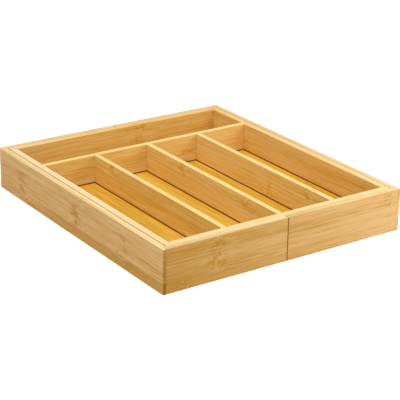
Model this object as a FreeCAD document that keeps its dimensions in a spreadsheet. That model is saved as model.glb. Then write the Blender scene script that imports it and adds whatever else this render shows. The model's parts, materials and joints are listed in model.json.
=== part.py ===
import FreeCAD, Part
import os
import Sketcher

# Extending cutlery tray in laminated bamboo. A divided tray stands inside a frame that is split at
# the middle of its front and rear. Each half of the frame is a drawer of three walls and a floor, and
# it slides out sideways from under the tray. Short guide strips on the frame run in blind grooves in
# the tray's front and rear walls, which carry the tray level and stop each half at its full reach.
#
# Millimetres. X runs left to right, the way the halves slide. Y runs front to rear, Z runs up.
# The origin is at the middle of the closed tray's footprint.

doc = FreeCAD.newDocument("cutlery_tray")
sheet = doc.addObject("Spreadsheet::Sheet", "Sizes")

# Driving dimensions, each with what it measures.
DRIVING_SIZES = {
    "closed_width": ("330", "left face to right face with both halves pushed in"),
    "overall_depth": ("373", "front face to rear face"),
    "overall_height": ("52", "bottom edge to rim"),
    "slide_travel": ("85", "how far each half of the frame pulls out"),
    "frame_wall": ("8", "thickness of the frame's walls"),
    "frame_lip": ("4", "what the corner rebate leaves of a frame side wall"),
    "frame_floor_rise": ("3.5", "bottom edge of the frame to the underside of its floor"),
    "frame_floor_thickness": ("3.5", "thickness of the frame's floor panels"),
    "seam_gap": ("0.4", "gap between the two halves where they meet"),
    "side_gap": ("0.8", "gap between a frame side wall and the tray, closed"),
    "running_gap": ("0.4", "gap between the tray and the frame's front and rear walls"),
    "lift_gap": ("0.3", "gap between the frame's floor and the tray above it"),
    "tray_wall": ("8", "thickness of the tray's walls"),
    "tray_lip": ("4", "what the corner rebate leaves of a tray front or rear wall"),
    "tray_floor_rise": ("5", "bottom edge of the tray's walls to the underside of its floor"),
    "tray_floor_thickness": ("4", "thickness of the tray's floor panel"),
    "floor_tongue": ("4", "how far a floor panel enters the groove around it"),
    "foot_gap": ("0.9", "open line between the tray's floor and the walls and dividers above it"),
    "divider_thickness": ("6.5", "thickness of the dividers"),
    "housing_depth": ("2.5", "how far a divider's end is let into the board that carries it"),
    "rear_bay_depth": ("63.5", "clear depth of the compartment along the rear"),
    "guide_length": ("36", "length of a guide strip"),
    "guide_height": ("6", "height of a guide strip"),
    "guide_seat": ("3", "how deep a guide strip is glued into the frame's wall"),
    "guide_engagement": ("2.6", "how far a guide strip enters the groove in the tray's wall"),
    "guide_play": ("0.3", "clearance of a guide strip all round in its groove"),
    "guide_inset": ("8", "end of the frame's wall at the seam to the guide strip"),
    "guide_rise": ("28", "bottom edge of the frame to the underside of a guide strip"),
    "rim_round": ("2", "radius of the frame's outer top edge"),
    "corner_round": ("1", "radius of the frame's outer corners"),
    "edge_ease": ("0.5", "radius of the other handled edges"),
}

# Sizes that follow from the driving dimensions.
WORKED_OUT_SIZES = {
    "half_width": "closed_width / 2",
    "half_depth": "overall_depth / 2",
    "half_seam": "seam_gap / 2",
    "frame_inner_x": "half_width - frame_wall",
    "frame_inner_y": "half_depth - frame_wall",
    "half_wall_length": "half_width - frame_lip - half_seam",
    "frame_floor_width": "frame_inner_x + floor_tongue - half_seam",
    "frame_floor_depth": "2 * (frame_inner_y + floor_tongue)",
    "tray_outer_x": "frame_inner_x - side_gap",
    "tray_outer_y": "frame_inner_y - running_gap",
    "tray_inner_x": "tray_outer_x - tray_wall",
    "tray_inner_y": "tray_outer_y - tray_wall",
    "tray_width": "2 * tray_outer_x",
    "tray_side_length": "2 * (tray_outer_y - tray_lip)",
    "tray_base": "frame_floor_rise + frame_floor_thickness + lift_gap",
    "tray_height": "overall_height - tray_base",
    "tray_floor_width": "2 * (tray_inner_x + floor_tongue)",
    "tray_floor_depth": "2 * (tray_inner_y + floor_tongue)",
    "divider_foot": "tray_floor_rise + tray_floor_thickness + foot_gap",
    "divider_height": "tray_height - divider_foot",
    "cross_rear_face": "tray_inner_y - rear_bay_depth",
    "cross_front_face": "cross_rear_face - divider_thickness",
    "cross_length": "2 * (tray_inner_x + housing_depth)",
    "bay_length": "tray_inner_y + cross_front_face",
    "bay_width": "(2 * tray_inner_x - 3 * divider_thickness) / 4",
    "divider_length": "bay_length + 2 * housing_depth",
    "guide_depth": "guide_seat + running_gap + guide_engagement",
    "guide_groove_depth": "guide_engagement + guide_play",
    "guide_groove_low": "guide_rise - tray_base - guide_play",
    "guide_groove_high": "guide_rise - tray_base + guide_height + guide_play",
    "guide_start": "half_seam + guide_inset",
    "guide_groove_start": "guide_start - guide_play",
    "guide_groove_end": "guide_start + guide_length + slide_travel + guide_play",
}

# Quarter turns about Z that face a board's outer side to the rear, left, front and right.
OUTWARD_TURNS = {"rear": 0, "left": 90, "front": 180, "right": 270}

# Dividers between the cutlery compartments, from left to right.
DIVIDER_NAMES = ("left_divider", "middle_divider", "right_divider")

TOUCHING = 1e-6  # two places closer than this are one place


def fill_sheet():
    """Write the sizes into the sheet, one row each: its meaning, then its value under its name."""
    rows = [(name, value, meaning) for name, (value, meaning) in DRIVING_SIZES.items()]
    rows += [(name, "=" + formula, formula) for name, formula in WORKED_OUT_SIZES.items()]
    for row, (name, value, meaning) in enumerate(rows, start=1):
        sheet.set(f"A{row}", meaning)
        sheet.set(f"B{row}", value)
        sheet.setAlias(f"B{row}", name)
    doc.recompute()


def in_sheet(formula):
    """Put the sheet's name before every size in a formula, as expressions outside the sheet need."""
    words = formula.replace("(", " ( ").replace(")", " ) ").replace("-", " - ").split()
    named = [f"Sizes.{word}" if word[0].isalpha() else word for word in words]
    return " ".join(named)


class Board:
    """One flat piece of bamboo: length along x, inner face at y = 0, bottom edge at z = 0."""

    def __init__(self, label, length, thickness, height):
        self.body = doc.addObject("PartDesign::Body", label)
        self.body.Label = label
        self.body.AllowCompound = False
        self.far_faces = {"end": (0, length), "outer": (1, thickness), "top": (2, height)}
        self.thickness = thickness
        outline = self.rectangle("outline", "XY_Plane", ("0", length), ("0", thickness))
        blank = self.body.newObject("PartDesign::Pad", f"{label}_blank")
        blank.Profile = outline
        blank.setExpression("Length", in_sheet(height))
        doc.recompute()

    def value(self, formula):
        return float(self.body.evalExpression(in_sheet(formula)))

    def rectangle(self, name, plane_role, across, upward):
        """Sketch a rectangle whose four sides are held at the formulas given."""
        planes = self.body.Origin.OriginFeatures
        plane = next(feature for feature in planes if feature.Role == plane_role)
        sketch = self.body.newObject("Sketcher::SketchObject", f"{self.body.Label}_{name}")
        sketch.AttachmentSupport = [(plane, "")]
        sketch.MapMode = "FlatFace"
        left, right = (self.value(formula) for formula in across)
        low, high = (self.value(formula) for formula in upward)
        corners = [FreeCAD.Vector(x, y) for x, y in ((left, low), (right, low), (right, high), (left, high))]
        for start, end in zip(corners, corners[1:] + corners[:1]):
            sketch.addGeometry(Part.LineSegment(start, end))
        for line, direction in enumerate(("Horizontal", "Vertical", "Horizontal", "Vertical")):
            sketch.addConstraint(Sketcher.Constraint(direction, line))
            sketch.addConstraint(Sketcher.Constraint("Coincident", line, 2, (line + 1) % 4, 1))
        sides = (
            ("left", "DistanceX", 0, left, across[0]),
            ("low", "DistanceY", 0, low, upward[0]),
            ("right", "DistanceX", 2, right, across[1]),
            ("high", "DistanceY", 2, high, upward[1]),
        )
        for side, direction, line, distance, formula in sides:
            held = sketch.addConstraint(Sketcher.Constraint(direction, -1, 1, line, 1, distance))
            sketch.renameConstraint(held, side)
            sketch.setExpression(f"Constraints.{side}", in_sheet(formula))
        return sketch

    def cut(self, name, along, upward, depth, from_outer=False):
        """Rout a rectangle into the inner face, or into the outer one."""
        before = self.body.Shape.Volume
        sketch = self.rectangle(f"{name}_outline", "XZ_Plane", along, upward)
        pocket = self.body.newObject("PartDesign::Pocket", f"{self.body.Label}_{name}")
        if from_outer:
            sketch.setExpression("AttachmentOffset.Base.z", in_sheet(f"-({self.thickness})"))
            pocket.Reversed = True
        pocket.Profile = sketch
        pocket.setExpression("Length", in_sheet(depth))
        doc.recompute()
        if self.body.Shape.Volume >= before:
            raise RuntimeError(f"{self.body.Label}: {name} removed nothing")

    def round_edges(self, name, radius, corners):
        """Round the straight edges where the named pairs of faces meet."""
        faces = {face: (axis, self.value(formula)) for face, (axis, formula) in self.far_faces.items()}
        faces.update(start=(0, 0), inner=(1, 0), bottom=(2, 0))
        base = self.body.Tip

        def lies_on(edge, face):
            axis, place = faces[face]
            return all(abs(vertex.Point[axis] - place) < TOUCHING for vertex in edge.Vertexes)

        edges = []
        for number, edge in enumerate(base.Shape.Edges, start=1):
            if any(lies_on(edge, first) and lies_on(edge, second) for first, second in corners):
                edges.append(f"Edge{number}")
        rounding = self.body.newObject("PartDesign::Fillet", f"{self.body.Label}_{name}")
        rounding.Base = (base, edges)
        rounding.setExpression("Radius", in_sheet(radius))
        doc.recompute()

    def place(self, outward, x, y, z):
        """Turn the outer face the way named and put the board's start, inner face and bottom edge there."""
        turn = FreeCAD.Rotation(FreeCAD.Vector(0, 0, 1), OUTWARD_TURNS[outward])
        self.body.Placement = FreeCAD.Placement(FreeCAD.Vector(), turn)
        for axis, formula in zip("xyz", (x, y, z)):
            self.body.setExpression(f"Placement.Base.{axis}", in_sheet(formula))


def divider_start(number):
    """Inner face of the tray's wall to the near face of a divider, counted from one."""
    return f"{number} * bay_width + {number - 1} * divider_thickness"


def make_tray_end_walls():
    """Front and rear walls of the tray, which run the full width and take the side walls in rebates."""
    for side, y in (("front", "-tray_inner_y"), ("rear", "tray_inner_y")):
        wall = Board(f"tray_{side}_wall", "tray_width", "tray_wall", "tray_height")
        wall.round_edges("ease", "edge_ease", (("top", "inner"), ("top", "outer")))
        full_height = ("0", "tray_height")
        rebate_depth = "tray_wall - tray_lip"
        wall.cut("start_rebate", ("0", "tray_wall"), full_height, rebate_depth)
        wall.cut("end_rebate", ("tray_width - tray_wall", "tray_width"), full_height, rebate_depth)
        groove = ("tray_wall - floor_tongue", "tray_width - tray_wall + floor_tongue")
        wall.cut("floor_groove", groove, ("tray_floor_rise", "divider_foot"), "floor_tongue")
        guide_run = ("guide_groove_low", "guide_groove_high")
        lower_run = ("tray_outer_x - guide_groove_end", "tray_outer_x - guide_groove_start")
        upper_run = ("tray_outer_x + guide_groove_start", "tray_outer_x + guide_groove_end")
        wall.cut("start_guide_groove", lower_run, guide_run, "guide_groove_depth", from_outer=True)
        wall.cut("end_guide_groove", upper_run, guide_run, "guide_groove_depth", from_outer=True)
        if side == "front":
            cut_divider_housings(wall, "tray_wall", ("divider_foot", "tray_height"))
        start = "tray_outer_x" if side == "front" else "-tray_outer_x"
        wall.place(side, start, y, "tray_base")


def cut_divider_housings(board, first_face, upward):
    """House the ends of the three dividers in a board whose clear width starts at first_face."""
    for number in range(1, len(DIVIDER_NAMES) + 1):
        near = f"{first_face} + {divider_start(number)}"
        board.cut(f"housing_{number}", (near, f"{near} + divider_thickness"), upward, "housing_depth")


def make_tray_side_walls():
    """Side walls of the tray, let into the rebates of the front and rear walls."""
    end_y = "tray_outer_y - tray_lip"
    sides = (
        ("left", "-tray_inner_x", f"-({end_y})", f"{end_y} + cross_front_face"),
        ("right", "tray_inner_x", end_y, f"{end_y} - cross_rear_face"),
    )
    for side, x, y, housing_start in sides:
        wall = Board(f"tray_{side}_wall", "tray_side_length", "tray_wall", "tray_height")
        wall.round_edges("ease", "edge_ease", (("top", "inner"), ("top", "outer")))
        floor_slot = ("tray_floor_rise", "divider_foot")
        wall.cut("floor_groove", ("0", "tray_side_length"), floor_slot, "floor_tongue")
        housing = (housing_start, f"{housing_start} + divider_thickness")
        wall.cut("cross_housing", housing, ("divider_foot", "tray_height"), "housing_depth")
        wall.place(side, x, y, "tray_base")


def make_dividers():
    """Cross divider with the three cutlery dividers housed in its front face."""
    foot = "tray_base + divider_foot"
    top_edges = (("top", "inner"), ("top", "outer"))
    cross = Board("cross_divider", "cross_length", "divider_thickness", "divider_height")
    cross.round_edges("ease", "edge_ease", top_edges)
    cut_divider_housings(cross, "housing_depth", ("0", "divider_height"))
    cross.place("rear", "-tray_inner_x - housing_depth", "cross_front_face", foot)
    for number, name in enumerate(DIVIDER_NAMES, start=1):
        divider = Board(name, "divider_length", "divider_thickness", "divider_height")
        divider.round_edges("ease", "edge_ease", top_edges)
        right_face = f"-tray_inner_x + {divider_start(number)} + divider_thickness"
        divider.place("left", right_face, "-tray_inner_y - housing_depth", foot)


def make_tray_floor():
    """Floor panel of the tray, loose in the grooves of its four walls."""
    floor = Board("tray_floor", "tray_floor_width", "tray_floor_depth", "tray_floor_thickness")
    corner = ("-tray_inner_x - floor_tongue", "-tray_inner_y - floor_tongue")
    floor.place("rear", *corner, "tray_base + tray_floor_rise")


def make_frame_side_wall(half):
    """Side wall of one half of the frame, rebated at both ends for the front and rear walls."""
    wall = Board(f"{half}_frame_side_wall", "overall_depth", "frame_wall", "overall_height")
    rim = (("top", "outer"), ("top", "start"), ("top", "end"))
    wall.round_edges("rim", "rim_round", rim)
    wall.round_edges("corners", "corner_round", (("start", "outer"), ("end", "outer")))
    wall.round_edges("ease", "edge_ease", (("bottom", "outer"),))
    rebate_depth = "frame_wall - frame_lip"
    full_height = ("0", "overall_height")
    wall.cut("start_rebate", ("0", "frame_wall"), full_height, rebate_depth)
    wall.cut("end_rebate", ("overall_depth - frame_wall", "overall_depth"), full_height, rebate_depth)
    groove = ("frame_wall - floor_tongue", "overall_depth - frame_wall + floor_tongue")
    floor_slot = ("frame_floor_rise", "frame_floor_rise + frame_floor_thickness")
    wall.cut("floor_groove", groove, floor_slot, "floor_tongue")
    if half == "left":
        wall.place(half, "-frame_inner_x", "-half_depth", "0")
    else:
        wall.place(half, "frame_inner_x", "half_depth", "0")


def make_frame_half_wall(half, side):
    """Front or rear wall of one half of the frame, from its corner to the seam, and its guide strip."""
    runs_to_seam = (half, side) in (("left", "rear"), ("right", "front"))
    wall = Board(f"{half}_frame_{side}_wall", "half_wall_length", "frame_wall", "overall_height")
    wall.round_edges("rim", "rim_round", (("top", "outer"),))
    seam_end = "end" if runs_to_seam else "start"
    wall.round_edges("ease", "edge_ease", ((seam_end, "outer"), ("bottom", "outer")))
    floor_slot = ("frame_floor_rise", "frame_floor_rise + frame_floor_thickness")
    wall.cut("floor_groove", ("0", "half_wall_length"), floor_slot, "floor_tongue")
    seat_start = "half_wall_length - guide_inset - guide_length" if runs_to_seam else "guide_inset"
    seat = (seat_start, f"{seat_start} + guide_length")
    wall.cut("guide_seat", seat, ("guide_rise", "guide_rise + guide_height"), "guide_seat")

    guide = Board(f"{half}_{side}_guide", "guide_length", "guide_depth", "guide_height")
    guide.round_edges("ease", "edge_ease", (("start", "inner"), ("end", "inner")))

    outward = 1 if side == "rear" else -1
    corner_x = "half_width - frame_lip" if half == "right" else "-(half_width - frame_lip)"
    seam_x = "half_seam" if half == "right" else "-half_seam"
    start_x = corner_x if runs_to_seam else seam_x
    along = "+" if side == "rear" else "-"
    wall.place(side, start_x, f"{outward} * frame_inner_y", "0")
    guide_y = f"{outward} * (frame_inner_y - running_gap - guide_engagement)"
    guide.place(side, f"{start_x} {along} ({seat_start})", guide_y, "guide_rise")


def make_frame_floor(half):
    """Floor panel of one half of the frame, which slides under the tray."""
    floor = Board(f"{half}_frame_floor", "frame_floor_width", "frame_floor_depth", "frame_floor_thickness")
    start_x = "half_seam" if half == "right" else "-frame_inner_x - floor_tongue"
    floor.place("rear", start_x, "-frame_inner_y - floor_tongue", "frame_floor_rise")


def check_document():
    """Stop if anything in the document failed to build."""
    doc.recompute()
    for thing in doc.Objects:
        if "Invalid" in thing.State or "Error" in thing.State:
            raise RuntimeError(f"{thing.Label} failed: {thing.State}")
    bodies = [thing for thing in doc.Objects if thing.TypeId == "PartDesign::Body"]
    for body in bodies:
        if body.Shape.isNull() or not body.Shape.isValid() or len(body.Shape.Solids) != 1:
            raise RuntimeError(f"{body.Label} is not one sound solid")
    return bodies


def main():
    fill_sheet()
    make_tray_end_walls()
    make_tray_side_walls()
    make_dividers()
    make_tray_floor()
    for half in ("left", "right"):
        make_frame_side_wall(half)
        for side in ("front", "rear"):
            make_frame_half_wall(half, side)
        make_frame_floor(half)
    bodies = check_document()
    os.makedirs("parts", exist_ok=True)
    for body in bodies:
        body.Shape.exportStep(os.path.join("parts", f"{body.Label}.step"))
        print(f"{body.Label}: {body.Shape.Volume:.0f} mm3, {body.Shape.BoundBox}")


main()
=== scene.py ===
"""Extending cutlery tray in laminated bamboo, dressed on its CAD frame.

Every board is built afresh between the corners of its CAD node. It is cut where its neighbours enter
it, its edges are eased, and it carries the run of its grain, its glue lines and its knuckles as
attributes, which the bamboo materials read. Boards that repeat are set out by Geometry Nodes.

Metres, in the frame's own axes: x runs left to right, y from front to rear, z up.
"""

import json
import math
from itertools import product
from typing import NamedTuple

import bmesh
import bpy
from bpy.props import FloatProperty, FloatVectorProperty, IntProperty, PointerProperty
from mathutils import Matrix, Vector

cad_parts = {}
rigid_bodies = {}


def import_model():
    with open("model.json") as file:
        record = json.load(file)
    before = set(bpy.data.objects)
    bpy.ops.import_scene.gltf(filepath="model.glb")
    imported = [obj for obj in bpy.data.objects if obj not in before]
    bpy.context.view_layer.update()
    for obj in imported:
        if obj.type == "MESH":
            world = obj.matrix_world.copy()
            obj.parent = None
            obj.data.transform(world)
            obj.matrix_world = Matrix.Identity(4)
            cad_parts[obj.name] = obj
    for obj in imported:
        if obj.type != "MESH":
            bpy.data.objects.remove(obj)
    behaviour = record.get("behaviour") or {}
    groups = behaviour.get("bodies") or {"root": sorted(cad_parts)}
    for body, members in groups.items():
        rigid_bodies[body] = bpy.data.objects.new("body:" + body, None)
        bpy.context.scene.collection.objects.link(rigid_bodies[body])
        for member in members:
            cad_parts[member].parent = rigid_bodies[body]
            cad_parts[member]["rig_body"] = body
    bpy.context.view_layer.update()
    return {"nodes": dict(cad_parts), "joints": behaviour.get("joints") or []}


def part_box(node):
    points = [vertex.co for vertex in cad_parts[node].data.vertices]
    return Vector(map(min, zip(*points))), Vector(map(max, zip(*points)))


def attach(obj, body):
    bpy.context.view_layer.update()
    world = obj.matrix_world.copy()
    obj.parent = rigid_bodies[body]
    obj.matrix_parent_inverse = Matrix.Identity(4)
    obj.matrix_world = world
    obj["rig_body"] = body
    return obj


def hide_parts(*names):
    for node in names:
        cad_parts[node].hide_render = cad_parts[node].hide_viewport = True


bl_info = {
    "name": "Extending cutlery tray",
    "version": (1, 0, 0),
    "blender": (4, 5, 0),
    "location": "3D View > Sidebar > Cutlery tray",
    "description": "Bamboo cutlery tray in a frame of two halves that slide out sideways",
    "category": "Add Mesh",
}

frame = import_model()

MM = 0.001
AXES = "xyz"
HALVES = ("left", "right")
ENDS = ("front", "rear")
DIVIDERS = ("left_divider", "middle_divider", "right_divider")
STRIPS = ("low", "middle", "top")  # strips of a laminated board, from its bottom edge
LONGEST_ROW = len(DIVIDERS)

# A side of a board: the axis that it faces along, and 0 for its low side or 1 for its high side.
LEFT, RIGHT, FRONT, REAR, BOTTOM, TOP = ((axis, side) for axis in range(3) for side in range(2))
OUTWARD = {"left": LEFT, "right": RIGHT, "front": FRONT, "rear": REAR}

FACE_CORNERS = ((0, 0), (1, 0), (1, 1), (0, 1))  # in order round a face
NO_ROOM = (0, 0, 0)
DECIMALS = 6  # places are rounded to the micrometre
SAME_PLACE = 1e-6  # places closer than this are one place
FLAT_TURN = math.radians(1)  # faces that meet at less than this become one face
SHARP_TURN = 0.1  # faces that meet at more than this, in radians, have an edge between them

OFF_BOARD = -50  # a glue line that a board doesn't have is put this far outside it, in millimetres
NOWHERE = 10.0  # a knuckle that a strip doesn't have is put this far along the board, in metres
KNUCKLES_PER_STRIP = 3  # as many as a vector holds


class Figure(NamedTuple):
    """What one board's wood shows.

    Places are in millimetres: along the board from its middle, and across it from its bottom edge, or
    from its left edge where it lies flat. Tones, painted shade slopes and knuckles go by strip: low, middle
    and top.
    """

    glue_lines: tuple  # places across the board of the two lines between its strips
    tones: tuple = (0, 0, 0)  # how dark each strip is, with negative ones paler
    slopes: tuple = (0, 0, 0)  # painted light and shade: how much darker each strip gets along the board, to the metre, as the light falls off along it
    knuckles: tuple = ((), (), ())  # places along each strip
    blush: float = 0.1  # how strongly the wood changes tone round a knuckle
    edge_pale_and_light: float = 0.78  # how pale the long edges are: the wood's own pale edges, with painted light that is less on the rims where the light falls off
    edge_shade_lean: float = 0.0  # painted shade across a long edge: how much paler it is on its right or rear side than on the other one
    end_shade: float = 0.8  # how much dark end grain the ends show, or pale wood where it is negative
    seed: float = 0.0  # gives the board its own place in the figure of the wood


PLAIN = Figure(glue_lines=(OFF_BOARD, OFF_BOARD))
DIVIDER = Figure(glue_lines=(OFF_BOARD, 19), tones=(0, 0.09, 0.05))

FIGURES = {
    "left_frame_side_wall": Figure(
        glue_lines=(13, 39), tones=(0.36, -0.02, -0.24), slopes=(-0.6, 0.3, 0.5),
        knuckles=((115, -117), (128, 0, -104), (-20,)), blush=0.9, edge_pale_and_light=0.64, edge_shade_lean=0.2,
        seed=0.13,
    ),
    "left_frame_front_wall": Figure(
        glue_lines=(10, 37), tones=(0.3, 0.22, 0.24), slopes=(-2.5, -2.5, -2.5),
        knuckles=((-61,), (-14,), (-14,)), edge_pale_and_light=0.74, edge_shade_lean=0.3, seed=0.07,
    ),
    "left_frame_rear_wall": Figure(
        glue_lines=(14, 38), tones=(0.2, 0, 0.2), knuckles=((20,), (-40,), (35,)),
        edge_pale_and_light=0.74, seed=0.48,
    ),
    "left_frame_floor": PLAIN._replace(seed=0.17),
    "right_frame_side_wall": Figure(
        glue_lines=(13, 39), tones=(-0.2, -0.25, 0.05), knuckles=((-60, 120), (40, -130), (90,)),
        edge_pale_and_light=0.5, end_shade=-0.1, seed=0.44,
    ),
    "right_frame_front_wall": Figure(
        glue_lines=(12, 33), tones=(0, -0.2, -0.16), slopes=(-4, -4, -3),
        knuckles=((), (), (69,)), edge_pale_and_light=0.46, edge_shade_lean=0.4, seed=0.3,
    ),
    "right_frame_rear_wall": Figure(
        glue_lines=(15, 40), tones=(0, 0.1, 0.25), knuckles=((-30,), (50,), (-55,)),
        edge_pale_and_light=0.74, seed=0.71,
    ),
    "right_frame_floor": PLAIN._replace(seed=0.47),
    "tray_front_wall": Figure(
        glue_lines=(8, 23), tones=(0.2, 0, 0), slopes=(1, 1, 1),
        knuckles=((), (-70, 90), (-30, 120)), edge_pale_and_light=0.6, seed=0.29,
    ),
    "tray_rear_wall": Figure(
        glue_lines=(8, 23), tones=(0.12, 0.06, 0), slopes=(0.6, 0.6, 0.6),
        knuckles=((-80,), (31,), (31,)), edge_pale_and_light=0.28, edge_shade_lean=0.35, seed=0.66,
    ),
    "tray_left_wall": Figure(
        glue_lines=(9, 25), tones=(0, 0.15, 0), knuckles=((60,), (-90, 130), (10,)), seed=0.83,
    ),
    "tray_right_wall": Figure(
        glue_lines=(10, 23), tones=(0, 0.08, 0.02), slopes=(0.4, 0.4, 0.4),
        knuckles=((), (-150,), (-170,)), edge_pale_and_light=0.36, edge_shade_lean=0.3, seed=0.46,
    ),
    "tray_floor": Figure(glue_lines=(76, 228), tones=(0.1, -0.03, 0.06), seed=0.52),
    "cross_divider": Figure(
        glue_lines=(OFF_BOARD, 17), tones=(0, -0.1, -0.18), knuckles=((), (57,), ()), seed=0.44,
    ),
    "left_divider": DIVIDER._replace(knuckles=((), (), (95,))),
    "middle_divider": DIVIDER._replace(knuckles=((), (), (56, -76))),
    "right_divider": DIVIDER._replace(knuckles=((), (-21,), (-92,))),
}

# A row's boards draw their own seeds from one, and change their tone by a step each time.
GUIDE_SEEDS = {"left": 11, "right": 12}
DIVIDER_SEED = 5
DIVIDER_TONE_STEP = -0.085

# Limits and units of the settings.
LENGTH = {"min": 0, "subtype": "DISTANCE", "unit": "LENGTH"}
ANGLE = {"subtype": "ANGLE", "unit": "ROTATION"}
SHARE = {"min": 0, "max": 1, "subtype": "FACTOR"}
STRENGTH = {"min": 0}
POWER = {"min": 0, "unit": "POWER"}
FOCAL_LENGTH = {"min": 1, "unit": "CAMERA"}


def amount(name, description, default, kind):
    return FloatProperty(name=name, description=description, default=default, **kind)


def colour(name, description, default):
    return FloatVectorProperty(
        name=name, description=description, default=default, min=0, max=1, size=3, subtype="COLOR"
    )


class BoardSizes(bpy.types.PropertyGroup):
    """Sizes of the boards' edges and running room that the frame's boxes don't give"""

    rim_round: amount("Rim rounding", "Radius of the frame sides' outer top edges", 1.2 * MM, LENGTH)
    corner_round: amount("Corner rounding", "Radius of the frame's corners and seam", MM, LENGTH)
    edge_ease: amount("Eased edges", "Radius of the dividers' tops and like edges", 0.5 * MM, LENGTH)
    gap_ease: amount("Eased gap", "Radius of the frame's left inner top edge", 0.7 * MM, LENGTH)
    arris: amount("Sanded arrises", "Radius of every other edge", 0.15 * MM, LENGTH)
    # Painted shade: the bare floor along the boards is a dark strip that stands in for the shadow beside
    # their feet.
    foot_shade_width: amount("Foot line", "Width of the bare floor along the boards", 1.5 * MM, LENGTH)
    guide_play: amount("Guide play", "Room around a guide strip in its groove", 0.3 * MM, LENGTH)
    rounding_steps: IntProperty(
        name="Rounding steps", description="Faces across each rounded edge", default=4, min=1
    )


class BambooLooks(bpy.types.PropertyGroup):
    """Colours and surface of the lacquered bamboo"""

    # Painted shade: the frame's wood is a darker copy of the tray's, so that its outer faces, lit by the
    # pale floor, come out as dark as the tray's inner faces.
    frame_light: colour("Frame, light", "Pale wood between the frame's fibres", (0.515, 0.308, 0.112))
    frame_dark: colour("Frame, dark", "Fibres of the frame's boards", (0.355, 0.17, 0.012))
    frame_edge: colour("Frame, edges", "Long edges of the frame's boards", (0.74, 0.56, 0.285))
    tray_light: colour("Tray, light", "Pale wood between the tray's fibres", (0.70, 0.428, 0.136))
    tray_dark: colour("Tray, dark", "Fibres of the tray's boards", (0.536, 0.258, 0.005))
    tray_edge: colour("Tray, edges", "Long edges of the tray's boards", (0.72, 0.585, 0.345))
    divider_light: colour("Dividers, light", "Pale wood between their fibres", (0.74, 0.468, 0.152))
    divider_dark: colour("Dividers, dark", "Fibres of the dividers", (0.57, 0.283, 0.004))
    divider_edge: colour("Dividers, edges", "Long edges of the dividers", (0.74, 0.545, 0.235))
    panel_light: colour("Panels, light", "Pale wood of the floor panels", (0.62, 0.38, 0.054))
    panel_dark: colour("Panels, dark", "Fibres of the floor panels", (0.41, 0.165, 0.001))
    end_grain: colour("End grain", "Ends of the boards", (0.225, 0.088, 0.004))
    # Raw wood in the joints, and painted shade in the dark strip along and under the boards' feet, which
    # stands in for their shadow.
    bare_and_foot_shade: colour("Bare wood", "Raw wood in the joints and along the boards' feet", (0.24, 0.06, 0.001))
    glue: colour("Glue lines", "Lines between the strips of a board", (0.22, 0.11, 0.03))
    relief: amount("Fibre relief", "How strongly the fibres stand out", 0.25, SHARE)
    roughness: amount("Roughness", "Roughness of the lacquered faces", 0.44, SHARE)
    shine: amount("Shine", "Strength of the wood's own reflections", 0.12, SHARE)
    coat: amount("Lacquer", "Strength of the lacquer's reflections", 0.05, SHARE)
    coat_roughness: amount("Lacquer roughness", "Roughness of the lacquer's reflections", 0.3, SHARE)


class StageLooks(bpy.types.PropertyGroup):
    """Floor, lights and camera"""

    floor: colour("Floor", "Pale floor under the tray", (0.88, 0.88, 0.88))
    sky: amount("Room light", "Brightness of the white room", 0.42, STRENGTH)
    key: amount("Key light", "Strength of the broad light overhead", 3.2, STRENGTH)
    fill: amount("Fill light", "Power of the soft light at the front right", 2.3, POWER)
    lens: amount("Lens", "Focal length for a 36 mm sensor", 125.47, FOCAL_LENGTH)
    distance: amount("Camera distance", "Camera to the point that it looks at", 1.65028, LENGTH)
    azimuth: amount("Camera azimuth", "Turn from front to right", math.radians(-34.815), ANGLE)
    elevation: amount("Camera elevation", "Angle above the floor", math.radians(21.815), ANGLE)
    roll: amount("Camera roll", "Turn about the line of sight", math.radians(0.957), ANGLE)
    target: FloatVectorProperty(
        name="Camera target",
        description="Point that the camera looks at",
        default=(-15.851 * MM, -37.379 * MM, 25.95 * MM),
        subtype="TRANSLATION",
        unit="LENGTH",
    )


class Nodes:
    """A node tree that grows one node at a time."""

    def __init__(self, tree):
        self.tree = tree
        tree.nodes.clear()

    def node(self, kind, settings=None, sockets=None):
        """Add a node: its settings first, then the values or links of its sockets."""
        node = self.tree.nodes.new(kind)
        for name, setting in (settings or {}).items():
            setattr(node, name, setting)
        for key, given in (sockets or {}).items():
            given = given.socket if isinstance(given, Value) else given
            if isinstance(given, bpy.types.NodeSocket):
                self.tree.links.new(given, node.inputs[key])
            else:
                node.inputs[key].default_value = given
        return node


class Value:
    """A number on a shader socket. Python's operators add the Math nodes that work it out."""

    def __init__(self, shader, socket):
        self.shader = shader
        self.socket = socket

    def maths(self, operation, *terms):
        node = self.shader.node("ShaderNodeMath", {"operation": operation}, dict(enumerate(terms)))
        return Value(self.shader, node.outputs[0])

    def __add__(self, other):
        return self.maths("ADD", self, other)

    __radd__ = __add__

    def __sub__(self, other):
        return self.maths("SUBTRACT", self, other)

    def __rsub__(self, other):
        return self.maths("SUBTRACT", other, self)

    def __mul__(self, other):
        return self.maths("MULTIPLY", self, other)

    __rmul__ = __mul__

    def __truediv__(self, other):
        return self.maths("DIVIDE", self, other)

    def __rtruediv__(self, other):
        return self.maths("DIVIDE", other, self)

    def __abs__(self):
        return self.maths("ABSOLUTE", self)

    def smaller(self, other):
        return self.maths("MINIMUM", self, other)

    def clamped(self):
        return self.maths("MAXIMUM", self.smaller(1), 0)

    def bell(self, width):
        """One where the value is zero, falling away smoothly over the width."""
        part = self / width
        return self.maths("EXPONENT", part * part * -1)

    def step(self, width):
        """Zero below zero and one above it, with an even change over the width."""
        return (self / width + 0.5).clamped()


# Two inputs and the output of a Mix node for each kind of data.
MIX_SOCKETS = {"VECTOR": (4, 5, 1), "RGBA": (6, 7, 2)}
COARSE = 2  # levels of detail in a noise
FINE = 3


def with_alpha(given):
    """A colour as sockets take it: a link, or three numbers and full alpha."""
    return given if isinstance(given, bpy.types.NodeSocket) else (*given, 1)


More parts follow.
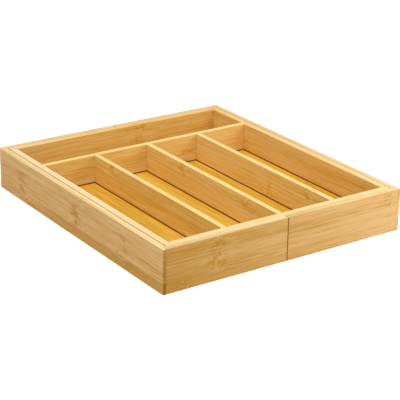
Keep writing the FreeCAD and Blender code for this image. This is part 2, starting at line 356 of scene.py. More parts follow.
class Shader(Nodes):
    """Nodes of one material."""

    def __init__(self, name):
        self.material = bpy.data.materials.new(name)
        self.material.use_nodes = True
        super().__init__(self.material.node_tree)

    def attribute(self, name, output="Vector"):
        return self.node("ShaderNodeAttribute", {"attribute_name": name}).outputs[output]

    def number(self, name):
        return Value(self, self.attribute(name, "Fac"))

    def parts(self, vector):
        outputs = self.node("ShaderNodeSeparateXYZ", sockets={0: vector}).outputs
        return [Value(self, output) for output in outputs]

    def joined(self, x, y, z):
        return self.node("ShaderNodeCombineXYZ", sockets={0: x, 1: y, 2: z}).outputs[0]

    def vector_maths(self, operation, first, second):
        node = self.node("ShaderNodeVectorMath", {"operation": operation}, {0: first, 1: second})
        return node.outputs[0]

    def noise(self, place, cycles, detail):
        """Noise about zero, with so many cycles to the metre along each part of the place."""
        vector = self.vector_maths("MULTIPLY", place, cycles)
        sockets = {"Vector": vector, "Scale": 1, "Detail": detail}
        return Value(self, self.node("ShaderNodeTexNoise", sockets=sockets).outputs["Fac"]) - 0.5

    def cells(self, place, cycles):
        """Distance from the middle of the nearest of scattered cells, so many to the metre."""
        vector = self.vector_maths("MULTIPLY", place, cycles)
        node = self.node("ShaderNodeTexVoronoi", sockets={"Vector": vector, "Scale": 1})
        return Value(self, node.outputs["Distance"])

    def mixed(self, kind, part, first, second):
        """From the first to the second, as the part goes from zero to one."""
        low, high, out = MIX_SOCKETS[kind]
        node = self.node("ShaderNodeMix", {"data_type": kind}, {0: part, low: first, high: second})
        return node.outputs[out]

    def tinted(self, part, first, second):
        """The same for colours."""
        return self.mixed("RGBA", part, with_alpha(first), with_alpha(second))

    def finish(self, sockets):
        """Give the material a Principled surface."""
        surface = self.node("ShaderNodeBsdfPrincipled", sockets=sockets)
        self.node("ShaderNodeOutputMaterial", sockets={"Surface": surface.outputs[0]})


# Noises in the wood: cycles to the metre along, across and through a board, and levels of detail.
NOISES = {
    "bands": ((3, 70, 120), COARSE),
    "streaks": ((11, 480, 480), FINE),
    "dashes": ((36, 850, 850), COARSE),
    "fibres": ((45, 2400, 2400), COARSE),
    "specks": ((260, 400, 400), FINE),
    "clouds": ((80, 160, 160), COARSE),
    "wander": ((7, 22, 22), COARSE),
    "swirl": ((60, 160, 160), COARSE),
    "sway": ((25, 150, 150), COARSE),
}
GRAIN = ("bands", "streaks", "dashes", "fibres")
EYE_CYCLES = (230, 330, 330)
BUNDLE_CYCLES = (60, 1500, 1500)
CELL_RIM = 0.45  # distance from the middle of a cell where its rim starts
SEED_SHIFT = (0.9, 0.7, 0.5)  # metres along, across and through the grain for a seed of one

WANDER = 6 * MM  # how far the grain strays across a board
SWIRL = 5 * MM  # how much further it strays near a knuckle
THROUGH_DRIFT = 0.5  # how far it strays through the board, as a share of that
SWAY = 10 * MM  # how far a knuckle strays along its strip
STRIP_BLEND = 0.4 * MM  # width over which one strip turns into the next
GLUE_WIDTH = 0.35 * MM
KNUCKLE_WIDTH = 5 * MM
BLUSH_WIDTH = 9 * MM
KNUCKLE_REACH = 18 * MM
SCAR_WIDTH = 1.3 * MM
SCAR_OFFSET = 5 * MM  # from a scar to its knuckle's middle
EDGE_WIDTH = 8 * MM  # width of a long edge over which its painted shade leans from one tone to another

# How much of each part of the figure goes into what is drawn with it.
GRAIN_TONE = {"bands": 1.3, "streaks": 1.4, "dashes": 1.1, "fibres": 1.0}
KNUCKLE_TONE = {"specks": 0.8, "eyes": -1.1}
NEARBY_TONE = {"specks": 0.6, "clouds": 1.6}
BLUSH_TONE = {"clouds": 1.4}
SCAR_TONE = {"specks": 0.9}
OUTLINE_TONE = {"eyes": -0.45}
EDGE_TONE = {"streaks": -1.2, "bands": -0.3}
GRAIN_ROUGHNESS = {"streaks": 0.25, "fibres": 0.2}
GRAIN_RELIEF = {"fibres": 0.5, "dashes": 0.3, "streaks": 0.3}
KNUCKLE_RELIEF = {"eyes": 0.6}

BASE_TONE = 0.3  # dark wood in a strip that has no tone of its own
BASE_BLUSH = 0.22
BASE_SCAR = 0.05
STRIP_CALM = 0.8  # how much less of its grain a dark strip shows
STRIP_SHOWS = 0.4  # how much of a strip's tone its long edges and ends show
BUNDLES_SHOW = 0.5  # how much of the fibre bundles the ends show
GLUE_SHOWS = 0.3
# How much the bare wood and the painted shade at the boards' feet show on their faces.
BARE_AND_SHADE_SHOWS = 0.97
EDGE_TURN = 0.7  # how squarely a face has to look across the board to count as a long edge
EDGE_TURN_BLEND = 0.4
PALEST_GAIN = (0.98, 1.17, 1.5)  # red, green and blue of the palest wood, as multiples of pale wood's
RING_GAIN = 0.75  # brightness of the rings at a knuckle, as a multiple of dark wood's
END_ROUGHNESS = 0.2
BARE_ROUGHNESS = 0.5
GLUE_DEPTH = 0.25
RELIEF_HEIGHT = 0.1 * MM


class Bamboo(Shader):
    """Laminated bamboo under satin lacquer, which follows the grain that each board carries."""

    def __init__(self, name, light, dark, edge):
        super().__init__(name)
        self.looks = bpy.context.scene.bamboo_looks
        grain = self.attribute("grain")
        self.along, self.across, self.through = self.parts(grain)
        self.end_cut, self.edge_cut, _ = self.parts(self.attribute("cut_face"))
        self.bare_and_shaded = self.number("bare_and_shaded")
        seed = self.number("board_seed")
        shift = self.joined(*(seed * part for part in SEED_SHIFT))
        self.place = self.vector_maths("ADD", grain, shift)
        self.find_strips()
        self.find_knuckles()
        self.draw_figure()
        wood = self.wood(light, dark)
        marked = self.marked(wood, [RING_GAIN * part for part in dark])
        self.lacquer(self.trimmed(marked, edge))

    def find_strips(self):
        """Work out which strip each point lies in, the strip's tone there, and the glue lines."""
        first_line, second_line, _ = self.parts(self.attribute("glue_lines"))
        past_first = self.across - first_line
        past_second = self.across - second_line
        self.above_first = past_first.step(STRIP_BLEND)
        self.above_second = past_second.step(STRIP_BLEND)
        self.glue_line = past_first.bell(GLUE_WIDTH) + past_second.bell(GLUE_WIDTH)

        tones = self.parts(self.attribute("tones"))
        slopes = self.parts(self.attribute("slopes"))
        # The slopes paint light and shade along each strip.
        low, middle, top = (tone + self.along * slope for tone, slope in zip(tones, slopes))
        tone = low + self.above_first * (middle - low) + self.above_second * (top - middle)
        self.strip_tone = tone + self.number("own_tone")

    def find_knuckles(self):
        """Work out how far each point is from the knuckles of its strip."""
        low, middle, top = (self.attribute(f"{strip}_knuckles") for strip in STRIPS)
        lower = self.mixed("VECTOR", self.above_first, low, middle)
        knuckles = self.mixed("VECTOR", self.above_second, lower, top)
        swaying = self.along + self.noise(self.place, *NOISES["sway"]) * SWAY
        self.past_knuckles = [swaying - knuckle for knuckle in self.parts(knuckles)]
        first, second, third = (abs(past) for past in self.past_knuckles)
        self.from_knuckle = first.smaller(second).smaller(third)
        self.at_knuckle = self.from_knuckle.bell(KNUCKLE_WIDTH)
        self.near_knuckle = self.from_knuckle.bell(KNUCKLE_REACH)

    def draw_figure(self):
        """Draw the grain, which strays and swirls, and the eyes, specks and clouds of the knuckles."""
        wander = self.noise(self.place, *NOISES["wander"]) * WANDER
        swirl = self.noise(self.place, *NOISES["swirl"]) * self.near_knuckle * SWIRL
        drift = wander + swirl
        run = self.vector_maths("ADD", self.place, self.joined(0, drift, drift * THROUGH_DRIFT))
        self.figure = {part: self.noise(run, *NOISES[part]) for part in GRAIN}
        self.figure["eyes"] = CELL_RIM - self.cells(run, EYE_CYCLES)
        for part in ("specks", "clouds"):
            self.figure[part] = self.noise(self.place, *NOISES[part])

    def sum_of(self, parts):
        """Parts of the figure added up, each times its own number."""
        return sum(self.figure[part] * times for part, times in parts.items())

    def wood(self, light, dark):
        """Colour of the wood, from the palest through light to dark."""
        grain = self.sum_of(GRAIN_TONE) * (1 - self.strip_tone * STRIP_CALM)
        mottle = self.at_knuckle * self.sum_of(KNUCKLE_TONE)
        nearby = self.near_knuckle * self.sum_of(NEARBY_TONE)
        blush = self.from_knuckle.bell(BLUSH_WIDTH) * (BASE_BLUSH + self.sum_of(BLUSH_TONE))
        tone = BASE_TONE + self.strip_tone + grain + mottle + nearby + blush * self.number("blush")
        palest = [part * gain for part, gain in zip(light, PALEST_GAIN)]
        pale = self.tinted((0 - tone).clamped(), light, palest)
        return self.tinted(tone.clamped(), pale, dark)

    def marked(self, wood, ring):
        """The wood with the rings at its knuckles and its glue lines."""
        scars = sum((past + SCAR_OFFSET).bell(SCAR_WIDTH) for past in self.past_knuckles)
        scarred = scars * (BASE_SCAR + self.sum_of(SCAR_TONE))
        outlined = self.at_knuckle * self.sum_of(OUTLINE_TONE)
        ringed = self.tinted((scarred + outlined).clamped(), wood, ring)
        glued = (self.glue_line * GLUE_SHOWS).clamped()
        return self.tinted(glued, ringed, self.looks.glue)

    def trimmed(self, wood, edge):
        """The wood with its long edges, its ends, and the bare wood in the joints, which also paints shade
        along and under the boards' feet.
        """
        end_shade = self.number("end_shade")
        strip_shows = self.strip_tone * STRIP_SHOWS
        # The lean paints shade across a long edge, beside the gap to its neighbour.
        edge_shade_lean = self.number("edge_shade_lean") * (self.through / EDGE_WIDTH - 0.5)
        # The edge's paleness holds painted light, less on the rims where the light falls off.
        pale_and_lit_edge = self.number("edge_pale_and_light") + edge_shade_lean - strip_shows + self.sum_of(EDGE_TONE)
        pale_end = self.end_cut * (0 - end_shade).clamped()
        pale = (self.edge_cut - EDGE_TURN).step(EDGE_TURN_BLEND) * pale_and_lit_edge + pale_end
        edged = self.tinted(pale.clamped(), wood, edge)
        bundles = (CELL_RIM - self.cells(self.place, BUNDLE_CYCLES)) * BUNDLES_SHOW
        dark_end = self.end_cut * (end_shade + strip_shows + bundles)
        ended = self.tinted(dark_end.clamped(), edged, self.looks.end_grain)
        # Bare wood in the joints, with painted shade along and under the boards' feet.
        return self.tinted(self.bare_and_shaded * BARE_AND_SHADE_SHOWS, ended, self.looks.bare_and_foot_shade)

    def lacquer(self, wood):
        """Lay satin lacquer over the wood, with its fibres standing out a little."""
        looks = self.looks
        knuckles = self.at_knuckle * self.sum_of(KNUCKLE_RELIEF)
        height = self.sum_of(GRAIN_RELIEF) + knuckles - self.glue_line * GLUE_DEPTH
        sockets = {"Strength": looks.relief, "Distance": RELIEF_HEIGHT, "Height": height}
        bump = self.node("ShaderNodeBump", sockets=sockets)
        cut_roughness = self.end_cut * END_ROUGHNESS + self.bare_and_shaded * BARE_ROUGHNESS
        roughness = looks.roughness + self.sum_of(GRAIN_ROUGHNESS) + cut_roughness
        self.finish(
            {
                "Base Color": wood,
                "Roughness": roughness.clamped(),
                "Normal": bump.outputs[0],
                "Specular IOR Level": looks.shine,
                "Coat Weight": looks.coat - self.bare_and_shaded * looks.coat,
                "Coat Roughness": looks.coat_roughness,
            }
        )


def bamboo_for(slot):
    """Material of a record's slot, made when it is first asked for."""
    looks = bpy.context.scene.bamboo_looks
    frame_wood = (looks.frame_light, looks.frame_dark, looks.frame_edge)
    colours = {
        "bamboo_frame": frame_wood,
        "bamboo_tray": (looks.tray_light, looks.tray_dark, looks.tray_edge),
        "bamboo_divider": (looks.divider_light, looks.divider_dark, looks.divider_edge),
        "bamboo_panel": (looks.panel_light, looks.panel_dark, looks.frame_edge),
        "bamboo_guide": frame_wood,
    }
    name = f"laminated_{slot}"
    made = bpy.data.materials.get(name)
    return made or Bamboo(name, *colours[slot]).material


def box_of(node):
    """Corners of a CAD node, to the nearest micrometre."""
    return [Vector(round(part, DECIMALS) for part in corner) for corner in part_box(node)]


def room_of(node, below, beyond):
    """Corners of a CAD node, with more room on its low and high sides."""
    low, high = box_of(node)
    return low - Vector(below), high + Vector(beyond)


def holds(room, point, slack=0.0):
    """Whether a point lies between the corners of a room, or no further outside than the slack."""
    low, high = room
    return all(low[axis] - slack < point[axis] < high[axis] + slack for axis in range(3))


def foot_gap():
    """Gap between the tray's floor and the dividers over it."""
    return box_of("cross_divider")[0].z - box_of("tray_floor")[1].z


def slide_of(body):
    """How far a body slides along x at its full reach."""
    joint = next(joint for joint in frame["joints"] if joint["child"] == body)
    return joint["axis"][0] * joint["range_m"][1]


class Board:
    """A board between two corners, which loses the room that its neighbours take."""

    def __init__(self, node, along, through):
        self.node = node
        self.figure = FIGURES.get(node, PLAIN)
        self.low, self.high = box_of(node)
        self.middle = (self.low + self.high) / 2
        self.along = AXES.index(along)
        self.through = AXES.index(through)
        self.across = next(axis for axis in range(3) if axis not in (self.along, self.through))
        self.cuts = []
        self.bare_and_shaded_rooms = []
        self.roundings = []

    def let_in(self, neighbour, below=NO_ROOM, beyond=NO_ROOM):
        """Cut away a neighbour's box, with more room on its low and high sides where that is given."""
        self.cuts.append(room_of(neighbour, below, beyond))

    def bared_and_shaded_by(self, neighbour, below=NO_ROOM, beyond=NO_ROOM):
        """Leave the wood bare and dark, as painted shade under and beside the boards' feet, where a
        neighbour's box, with that much more room, stands over it.
        """
        self.bare_and_shaded_rooms.append(room_of(neighbour, below, beyond))

    def rounded(self, radius, side, *others):
        """Round the edges where one of the board's sides meets others."""
        self.roundings += [(side, other, radius) for other in others]

    def planes(self):
        """Places along each axis where the board, or room in it, starts or ends."""
        rooms = [(self.low, self.high), *self.cuts, *self.bare_and_shaded_rooms]
        planes = []
        for axis in range(3):
            start = self.low[axis] - SAME_PLACE
            end = self.high[axis] + SAME_PLACE
            places = (corner[axis] for room in rooms for corner in room)
            planes.append(sorted({round(place, DECIMALS) for place in places if start < place < end}))
        return planes

    def blank(self):
        """The cut board with sharp edges, as the outside of the blocks that are left."""
        planes = self.planes()
        solid = bmesh.new()
        corners = {}

        def is_cut(block):
            middle = [(plane[place] + plane[place + 1]) / 2 for place, plane in zip(block, planes)]
            return any(holds(cut, middle) for cut in self.cuts)

        def corner(place):
            if place not in corners:
                corners[place] = solid.verts.new([plane[i] for i, plane in zip(place, planes)])
            return corners[place]

        blocks = set(product(*(range(len(plane) - 1) for plane in planes)))
        wood = blocks - set(filter(is_cut, blocks))
        for block in sorted(wood):
            for axis, side in product(range(3), range(2)):
                beyond = list(block)
                beyond[axis] += 2 * side - 1
                if tuple(beyond) in wood:
                    continue
                ring = []
                for step_right, step_up in FACE_CORNERS:
                    place = list(block)
                    place[axis] += side
                    place[(axis + 1) % 3] += step_right
                    place[(axis + 2) % 3] += step_up
                    ring.append(corner(tuple(place)))
                face = solid.faces.new(ring if side else ring[::-1])
                middle = face.calc_center_median()
                is_bare_and_shaded = any(holds(shaded_room, middle, SAME_PLACE) for shaded_room in self.bare_and_shaded_rooms)
                # A second material marks the bare faces, raw wood in the joints and painted shade under and
                # beside the boards' feet, until the grain is written.
                face.material_index = int(is_bare_and_shaded or tuple(beyond) in blocks)
        bmesh.ops.dissolve_limit(
            solid, angle_limit=FLAT_TURN, verts=solid.verts, edges=solid.edges, delimit={"MATERIAL"}
        )
        return solid

    def rounding(self, edge, usual):
        """Radius of an edge that lies on two of the board's sides, or else the usual one."""
        ends = [vertex.co for vertex in edge.verts]
        for *sides, radius in self.roundings:
            planes = [(axis, (self.low, self.high)[high][axis]) for axis, high in sides]
            if all(abs(end[axis] - plane) < SAME_PLACE for axis, plane in planes for end in ends):
                return radius
        return usual

    def mesh(self):
        """The cut board with its edges eased, and the grain that its materials follow."""
        sizes = bpy.context.scene.board_sizes
        solid = self.blank()
        # A weight is at most one, so no edge is rounded more than the rim.
        weights = solid.edges.layers.float.new("bevel_weight_edge")
        for edge in solid.edges:
            turn = edge.calc_face_angle_signed()
            if turn > SHARP_TURN:
                edge[weights] = self.rounding(edge, sizes.arris) / sizes.rim_round
            elif turn < -SHARP_TURN:
                edge.smooth = False
        for face in solid.faces:
            face.smooth = True
        sharp = bpy.data.meshes.new(f"{self.node}_blank")
        solid.to_mesh(sharp)
        solid.free()

        blank = bpy.data.objects.new(f"{self.node}_blank", sharp)
        easing = blank.modifiers.new("easing", "BEVEL")
        easing.limit_method = "WEIGHT"
        easing.width = sizes.rim_round
        easing.segments = sizes.rounding_steps
        easing.harden_normals = True
        mesh = evaluated_mesh(blank)
        bpy.data.meshes.remove(sharp)
        self.write_grain(mesh)
        return mesh

    def write_grain(self, mesh):
        """Keep how far each point is along, across and through the board, and how each face is cut."""
        order = (self.along, self.across, self.through)
        starts = (self.middle[self.along], self.low[self.across], self.low[self.through])
        runs = list(zip(order, starts))
        grain = [vertex.co[axis] - start for vertex in mesh.vertices for axis, start in runs]
        write_on(mesh, "POINT", "grain", grain)
        cut = [abs(face.normal[axis]) for face in mesh.polygons for axis in order]
        write_on(mesh, "FACE", "cut_face", cut)
        write_on(mesh, "FACE", "bare_and_shaded", [face.material_index for face in mesh.polygons], "FLOAT")
        mesh.polygons.foreach_set("material_index", [0] * len(mesh.polygons))

    def knuckles(self):
        """Places along each of the board's strips, with those that it lacks put out of reach."""
        for strip, places in zip(STRIPS, self.figure.knuckles):
            lacking = KNUCKLES_PER_STRIP - len(places)
            yield strip, [place * MM for place in places] + [NOWHERE] * lacking

    def piece(self, name, slot):
        """Finish the board as a piece that stands for its CAD node."""
        mesh = self.mesh()
        write_figure(mesh, self.figure)
        for strip, places in self.knuckles():
            write_same(mesh, f"{strip}_knuckles", *places)
        write_same(mesh, "board_seed", self.figure.seed)
        mesh.materials.append(bamboo_for(slot))
        return dressed(name, mesh, slot, self.node)


def evaluated_mesh(obj):
    """Plain mesh of an object with its modifiers applied. The object is removed."""
    bpy.context.scene.collection.objects.link(obj)
    graph = bpy.context.evaluated_depsgraph_get()
    result = obj.evaluated_get(graph)
    mesh = bpy.data.meshes.new_from_object(result, preserve_all_data_layers=True, depsgraph=graph)
    bpy.data.objects.remove(obj)
    return mesh


def dressed(name, mesh, slot, *nodes):
    """Add a mesh as a piece that stands for CAD nodes and moves with their body."""
    mesh.name = name
    piece = bpy.data.objects.new(name, mesh)
    bpy.context.scene.collection.objects.link(piece)
    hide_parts(*nodes)
    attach(piece, frame["nodes"][nodes[0]]["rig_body"])
    return piece


def write_on(mesh, domain, name, flat, kind="FLOAT_VECTOR"):
    """Keep a vector or number on each point or face, from a flat list."""
    attribute = mesh.attributes.new(name, kind, domain)
    attribute.data.foreach_set("vector" if kind == "FLOAT_VECTOR" else "value", flat)


def write_same(mesh, name, *parts):
    """Keep the same number, or vector of three parts, on every point."""
    kind = "FLOAT" if len(parts) == 1 else "FLOAT_VECTOR"
    write_on(mesh, "POINT", name, parts * len(mesh.vertices), kind)


def write_figure(mesh, figure):
    """Keep the glue lines and tones of a board's strips, their painted shade slopes, and how its ends and
    long edges look, with the long edges' painted light and shade.
    """
    write_same(mesh, "glue_lines", *(line * MM for line in figure.glue_lines), 0)
    for name in ("tones", "slopes"):
        write_same(mesh, name, *getattr(figure, name))
    for name in ("end_shade", "edge_pale_and_light", "edge_shade_lean", "blush"):
        write_same(mesh, name, getattr(figure, name))


def knuckles_input(strip, place):
    """Name of the row's input for the knuckles in a strip of one of its boards."""
    return f"{strip} knuckles {place}"


ROW_SOCKETS = (
    ("Board", "NodeSocketGeometry"),
    ("Count", "NodeSocketInt"),
    ("First place", "NodeSocketVector"),
    ("Step", "NodeSocketVector"),
    ("Turn", "NodeSocketFloat"),
    ("Seed", "NodeSocketInt"),
    ("Tone step", "NodeSocketFloat"),
    *((knuckles_input(*item), "NodeSocketVector") for item in product(STRIPS, range(LONGEST_ROW))),
    ("Material", "NodeSocketMaterial"),
)


class RowOfBoards(Nodes):
    """Geometry Nodes that set out like boards in a row, each with its own figure."""

    def __init__(self, name):
        super().__init__(bpy.data.node_groups.new(name, "GeometryNodeTree"))
        interface = self.tree.interface
        for socket, kind in ROW_SOCKETS:
            interface.new_socket(socket, in_out="INPUT", socket_type=kind)
        interface.new_socket("Row", in_out="OUTPUT", socket_type="NodeSocketGeometry")
        self.given = self.node("NodeGroupInput").outputs
        self.number = self.node("GeometryNodeInputIndex").outputs[0]

        boards = self.set_out()
        boards = self.stored(boards, "FLOAT", "board_seed", self.own_seed())
        boards = self.stored(boards, "FLOAT", "own_tone", self.times_number("Tone step"))
        for strip in STRIPS:
            knuckles = self.own_knuckles(strip)
            boards = self.stored(boards, "FLOAT_VECTOR", f"{strip}_knuckles", knuckles)
        whole = self.node("GeometryNodeRealizeInstances", sockets={"Geometry": boards}).outputs[0]
        sockets = {"Geometry": whole, "Material": self.given["Material"]}
        painted = self.node("GeometryNodeSetMaterial", sockets=sockets).outputs[0]
        self.node("NodeGroupOutput", sockets={0: painted})

    def times_number(self, name):
        """An input times the board's number in the row, which starts at zero."""
        sockets = {0: self.number, 1: self.given[name]}
        return self.node("ShaderNodeMath", {"operation": "MULTIPLY"}, sockets).outputs[0]

    def set_out(self):
        """One board at each place in the row, turned further each time."""
        given = self.given
        sockets = {"Count": given["Count"], "Start Location": given["First place"], "Offset": given["Step"]}
        places = self.node("GeometryNodeMeshLine", {"mode": "OFFSET"}, sockets).outputs[0]
        turn = self.node("ShaderNodeCombineXYZ", sockets={2: self.times_number("Turn")}).outputs[0]
        sockets = {"Points": places, "Instance": given["Board"], "Rotation": turn}
        return self.node("GeometryNodeInstanceOnPoints", sockets=sockets).outputs[0]

    def own_seed(self):
        """A seed for each board, between zero and one."""
        sockets = {"ID": self.number, "Seed": self.given["Seed"]}
        return self.node("FunctionNodeRandomValue", {"data_type": "FLOAT"}, sockets).outputs[1]

    def own_knuckles(self, strip):
        """The knuckles that are given for each board's strip."""
        switch = self.node("GeometryNodeIndexSwitch", {"data_type": "VECTOR"}, {"Index": self.number})
        while len(switch.index_switch_items) < LONGEST_ROW:
            switch.index_switch_items.new()
        for place in range(LONGEST_ROW):
            self.tree.links.new(self.given[knuckles_input(strip, place)], switch.inputs[place + 1])
        return switch.outputs[0]

    def stored(self, boards, kind, name, value):
        """The boards with a value kept on each."""
        settings = {"data_type": kind, "domain": "INSTANCE"}
        sockets = {"Geometry": boards, "Name": name, "Value": value}
        return self.node("GeometryNodeStoreNamedAttribute", settings, sockets).outputs[0]


def row_of_boards(name, slot, boards, seed, turn=0.0, tone_step=0.0):
    """Set out copies of the first of like boards, as one piece that stands for all their CAD nodes."""
    first, second = boards[:2]
    mesh = first.mesh()
    mesh.transform(Matrix.Translation(-first.middle))
    write_figure(mesh, first.figure)

    inputs = {
        "Count": len(boards),
        "First place": first.middle,
        "Step": second.middle - first.middle,
        "Turn": turn,
        "Seed": seed,
        "Tone step": tone_step,
        "Material": bamboo_for(slot),
    }
    for place, board in enumerate(boards):
        for strip, knuckles in board.knuckles():
            inputs[knuckles_input(strip, place)] = knuckles
    tree = bpy.data.node_groups.get("row_of_boards") or RowOfBoards("row_of_boards").tree
    single = bpy.data.objects.new(f"{name}_single", mesh)
    row = single.modifiers.new("row", "NODES")
    row.node_group = tree
    for socket in tree.interface.items_tree:
        if socket.name in inputs:
            row[socket.identifier] = inputs[socket.name]
    return dressed(name, evaluated_mesh(single), slot, *(board.node for board in boards))


class TRAY_OT_frame_side_boards(bpy.types.Operator):
    """Side boards of the frame, rebated for the front and rear boards and grooved for the floor"""

    bl_idname = "cutlery_tray.frame_side_boards"
    bl_label = "Frame side boards"

    def execute(self, context):
        sizes = context.scene.board_sizes
        for half in HALVES:
            outer = OUTWARD[half]
            board = Board(f"{half}_frame_side_wall", along="y", through="x")
            for neighbour in ("front_wall", "rear_wall", "floor"):
                board.let_in(f"{half}_frame_{neighbour}")
            board.rounded(sizes.rim_round, outer, TOP)
            if half == "left":
                board.rounded(sizes.gap_ease, RIGHT, TOP)
            board.rounded(sizes.corner_round, outer, FRONT, REAR)
            board.rounded(sizes.edge_ease, outer, BOTTOM)
            board.piece(f"{half}_frame_side_board", "bamboo_frame")
        return {"FINISHED"}


class TRAY_OT_frame_end_boards(bpy.types.Operator):
    """Front and rear boards of the frame, from each corner to the seam in the middle"""

    bl_idname = "cutlery_tray.frame_end_boards"
    bl_label = "Frame front and rear boards"

    def execute(self, context):
        sizes = context.scene.board_sizes
        for half in HALVES:
            seam = RIGHT if half == "left" else LEFT
            for end in ENDS:
                outer = OUTWARD[end]
                board = Board(f"{half}_frame_{end}_wall", along="x", through="y")
                board.let_in(f"{half}_frame_floor")
                board.let_in(f"{half}_{end}_guide")
                board.rounded(sizes.corner_round, outer, seam)
                board.rounded(sizes.edge_ease, outer, BOTTOM)
                board.piece(f"{half}_frame_{end}_board", "bamboo_frame")
        return {"FINISHED"}


class TRAY_OT_guide_strips(bpy.types.Operator):
    """Guide strips on the frame, a pair for each half, which run in the tray's grooves"""

    bl_idname = "cutlery_tray.guide_strips"
    bl_label = "Guide strips"

    def execute(self, context):
        sizes = context.scene.board_sizes
        for half in HALVES:
            guides = [Board(f"{half}_{end}_guide", along="x", through="y") for end in ENDS]
            guides[0].rounded(sizes.edge_ease, REAR, LEFT, RIGHT)
            seed = GUIDE_SEEDS[half]
            row_of_boards(f"{half}_frame_guides", "bamboo_guide", guides, seed, turn=math.pi)
        return {"FINISHED"}


class TRAY_OT_floor_panels(bpy.types.Operator):
    """Floor panels of the tray and of both halves of the frame, with their grain from front to rear"""

    bl_idname = "cutlery_tray.floor_panels"
    bl_label = "Floor panels"

    def execute(self, context):
        line = context.scene.board_sizes.foot_shade_width
        panel = Board("tray_floor", along="y", through="z")
        # Painted shade: a dark bare strip on the floor under and beside each divider and wall.
        for board in (*DIVIDERS, "cross_divider"):
            panel.bared_and_shaded_by(board, (line, line, foot_gap()), (line, line, 0))
        for wall in (*HALVES, *ENDS):
            panel.bared_and_shaded_by(f"tray_{wall}_wall", (line, line, 0), (line, line, 0))
        panel.piece("tray_panel", "bamboo_panel")
        for half in HALVES:
            panel = Board(f"{half}_frame_floor", along="y", through="z")
            panel.piece(f"{half}_frame_panel", "bamboo_panel")
        return {"FINISHED"}


class TRAY_OT_tray_end_boards(bpy.types.Operator):
    """Front and rear boards of the tray, with housings for the dividers and grooves for the guides"""

    bl_idname = "cutlery_tray.tray_end_boards"
    bl_label = "Tray front and rear boards"

    def execute(self, context):
        sizes = context.scene.board_sizes
        play = sizes.guide_play
        for end in ENDS:
            board = Board(f"tray_{end}_wall", along="x", through="y")
            for side in HALVES:
                board.let_in(f"tray_{side}_wall")
                reach = slide_of(f"{side}_frame")
                below = (play + max(-reach, 0), play, play)
                beyond = (play + max(reach, 0), play, play)
                board.let_in(f"{side}_{end}_guide", below, beyond)
            board.let_in("tray_floor", beyond=(0, 0, foot_gap()))
            if end == "front":
                for divider in DIVIDERS:
                    board.let_in(divider)
                board.rounded(sizes.edge_ease, TOP, REAR)
            board.piece(f"tray_{end}_board", "bamboo_tray")
        return {"FINISHED"}


class TRAY_OT_tray_side_boards(bpy.types.Operator):
    """Side boards of the tray, grooved for the floor and housed for the cross divider"""

    bl_idname = "cutlery_tray.tray_side_boards"
    bl_label = "Tray side boards"

    def execute(self, context):
        sizes = context.scene.board_sizes
        for side in HALVES:
            board = Board(f"tray_{side}_wall", along="y", through="x")
            board.let_in("tray_floor", beyond=(0, 0, foot_gap()))
            board.let_in("cross_divider")
            if side == "left":
                board.rounded(sizes.edge_ease, TOP, RIGHT)
            board.piece(f"tray_{side}_board", "bamboo_tray")
        return {"FINISHED"}


class TRAY_OT_cross_divider(bpy.types.Operator):
    """Cross divider, with housings for the cutlery dividers in its front face"""

    bl_idname = "cutlery_tray.cross_divider"
    bl_label = "Cross divider"

    def execute(self, context):
        sizes = context.scene.board_sizes
        board = Board("cross_divider", along="x", through="y")
        for divider in DIVIDERS:
            board.let_in(divider)
        # Painted shade: the bottom face over the floor is left dark.
        board.bared_and_shaded_by("tray_floor", beyond=(0, 0, foot_gap()))
        board.rounded(sizes.edge_ease, TOP, FRONT, REAR)
        board.piece("cross_divider_board", "bamboo_divider")
        return {"FINISHED"}


class TRAY_OT_cutlery_dividers(bpy.types.Operator):
    """Three dividers between the cutlery compartments, evenly spaced"""

    bl_idname = "cutlery_tray.cutlery_dividers"
    bl_label = "Cutlery dividers"

    def execute(self, context):
        sizes = context.scene.board_sizes
        boards = [Board(divider, along="y", through="x") for divider in DIVIDERS]
        # Painted shade: the bottom faces over the floor are left dark.
        boards[0].bared_and_shaded_by("tray_floor", beyond=(0, 0, foot_gap()))
        boards[0].rounded(sizes.edge_ease, TOP, LEFT, RIGHT)
        row_of_boards(
            "cutlery_dividers", "bamboo_divider", boards, DIVIDER_SEED, tone_step=DIVIDER_TONE_STEP
        )
        return {"FINISHED"}


FLOOR_REACH = 9  # from the middle of the floor to each side
FLOOR_CYCLES = (9, 9, 9)
FLOOR_SHADE = 0.98  # darkest part of the floor's mottle, as a share of its colour
FLOOR_ROUGHNESS = 0.9
WHITE = (1, 1, 1, 1)
OVERHEAD_PLACE = Vector((-0.42, -0.29, 1))
OVERHEAD_SPREAD = math.radians(60)
SOFTBOX_PLACE = Vector((0.45, -0.5, 0.35))
SOFTBOX_AIM = Vector((0.15, -0.18, 0.03))
SOFTBOX_WIDTH = 0.5
SOFTBOX_HEIGHT = 0.4


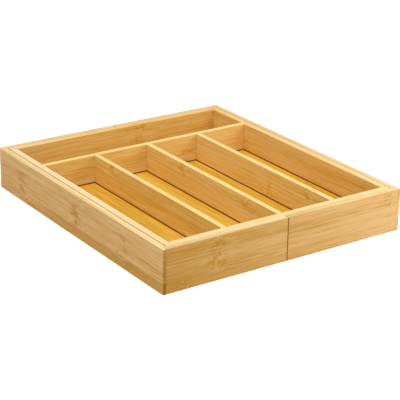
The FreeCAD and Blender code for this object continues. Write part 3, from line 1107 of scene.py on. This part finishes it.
class TRAY_OT_stage(bpy.types.Operator):
    """Pale floor, soft studio light and the camera"""

    bl_idname = "cutlery_tray.stage"
    bl_label = "Stage"

    def execute(self, context):
        scene = context.scene
        looks = scene.stage_looks
        scene.view_settings.view_transform = "Standard"
        self.lay_floor(scene, looks)
        self.light(scene, looks)
        self.set_camera(scene, looks)
        return {"FINISHED"}

    def lay_floor(self, scene, looks):
        paint = Shader("pale_floor")
        place = paint.node("ShaderNodeTexCoord").outputs["Object"]
        mottle = paint.noise(place, FLOOR_CYCLES, FINE)
        shade = [part * FLOOR_SHADE for part in looks.floor]
        mottled = paint.tinted((mottle + 0.5).clamped(), looks.floor, shade)
        paint.finish({"Base Color": mottled, "Roughness": FLOOR_ROUGHNESS})
        mesh = bpy.data.meshes.new("floor")
        corners = [((2 * x - 1) * FLOOR_REACH, (2 * y - 1) * FLOOR_REACH, 0) for x, y in FACE_CORNERS]
        mesh.from_pydata(corners, [], [range(len(corners))])
        mesh.materials.append(paint.material)
        floor = bpy.data.objects.new("floor", mesh)
        scene.collection.objects.link(floor)

    def light(self, scene, looks):
        scene.world = bpy.data.worlds.new("white_room")
        scene.world.use_nodes = True
        room = scene.world.node_tree.nodes["Background"]
        room.inputs["Color"].default_value = WHITE
        room.inputs["Strength"].default_value = looks.sky

        overhead = bpy.data.lights.new("overhead", "SUN")
        overhead.energy = looks.key
        overhead.angle = OVERHEAD_SPREAD
        self.aim(scene, overhead, OVERHEAD_PLACE, Vector())

        softbox = bpy.data.lights.new("softbox", "AREA")
        softbox.shape = "RECTANGLE"
        softbox.size = SOFTBOX_WIDTH
        softbox.size_y = SOFTBOX_HEIGHT
        softbox.energy = looks.fill
        self.aim(scene, softbox, SOFTBOX_PLACE, SOFTBOX_AIM)

    def aim(self, scene, light, place, target):
        lamp = bpy.data.objects.new(light.name, light)
        lamp.location = place
        lamp.rotation_euler = (place - target).to_track_quat("Z", "Y").to_euler()
        scene.collection.objects.link(lamp)

    def set_camera(self, scene, looks):
        turn, tilt = looks.azimuth, looks.elevation
        level = math.cos(tilt)
        right = Vector((math.cos(turn), math.sin(turn), 0))
        back = Vector((math.sin(turn) * level, -math.cos(turn) * level, math.sin(tilt)))
        up = back.cross(right)
        turned = Matrix((right, up, back)).transposed() @ Matrix.Rotation(looks.roll, 3, "Z")
        place = Vector(looks.target) + back * looks.distance
        lens = bpy.data.cameras.new("camera")
        lens.lens = looks.lens
        camera = bpy.data.objects.new("camera", lens)
        camera.matrix_world = Matrix.Translation(place) @ turned.to_4x4()
        scene.collection.objects.link(camera)
        scene.camera = camera


OPERATORS = (
    TRAY_OT_frame_side_boards,
    TRAY_OT_frame_end_boards,
    TRAY_OT_guide_strips,
    TRAY_OT_floor_panels,
    TRAY_OT_tray_end_boards,
    TRAY_OT_tray_side_boards,
    TRAY_OT_cross_divider,
    TRAY_OT_cutlery_dividers,
    TRAY_OT_stage,
)
SETTINGS = {"board_sizes": BoardSizes, "bamboo_looks": BambooLooks, "stage_looks": StageLooks}


class TRAY_PT_sidebar(bpy.types.Panel):
    """Sizes and colours of the cutlery tray, and its pieces in the order they are made"""

    bl_label = "Cutlery tray"
    bl_idname = "TRAY_PT_sidebar"
    bl_space_type = "VIEW_3D"
    bl_region_type = "UI"
    bl_category = "Cutlery tray"

    def draw(self, context):
        for name, group in SETTINGS.items():
            box = self.layout.box()
            for prop in group.__annotations__:
                box.prop(getattr(context.scene, name), prop)
        for operator in OPERATORS:
            self.layout.operator(operator.bl_idname)


CLASSES = (*SETTINGS.values(), *OPERATORS, TRAY_PT_sidebar)


def register():
    for cls in CLASSES:
        bpy.utils.register_class(cls)
    for name, group in SETTINGS.items():
        setattr(bpy.types.Scene, name, PointerProperty(type=group))


def unregister():
    for name in SETTINGS:
        delattr(bpy.types.Scene, name)
    for cls in reversed(CLASSES):
        bpy.utils.unregister_class(cls)


def main():
    register()
    tray = bpy.ops.cutlery_tray
    tray.frame_side_boards()
    tray.frame_end_boards()
    tray.guide_strips()
    tray.floor_panels()
    tray.tray_end_boards()
    tray.tray_side_boards()
    tray.cross_divider()
    tray.cutlery_dividers()
    tray.stage()


if __name__ == "__main__":
    main()
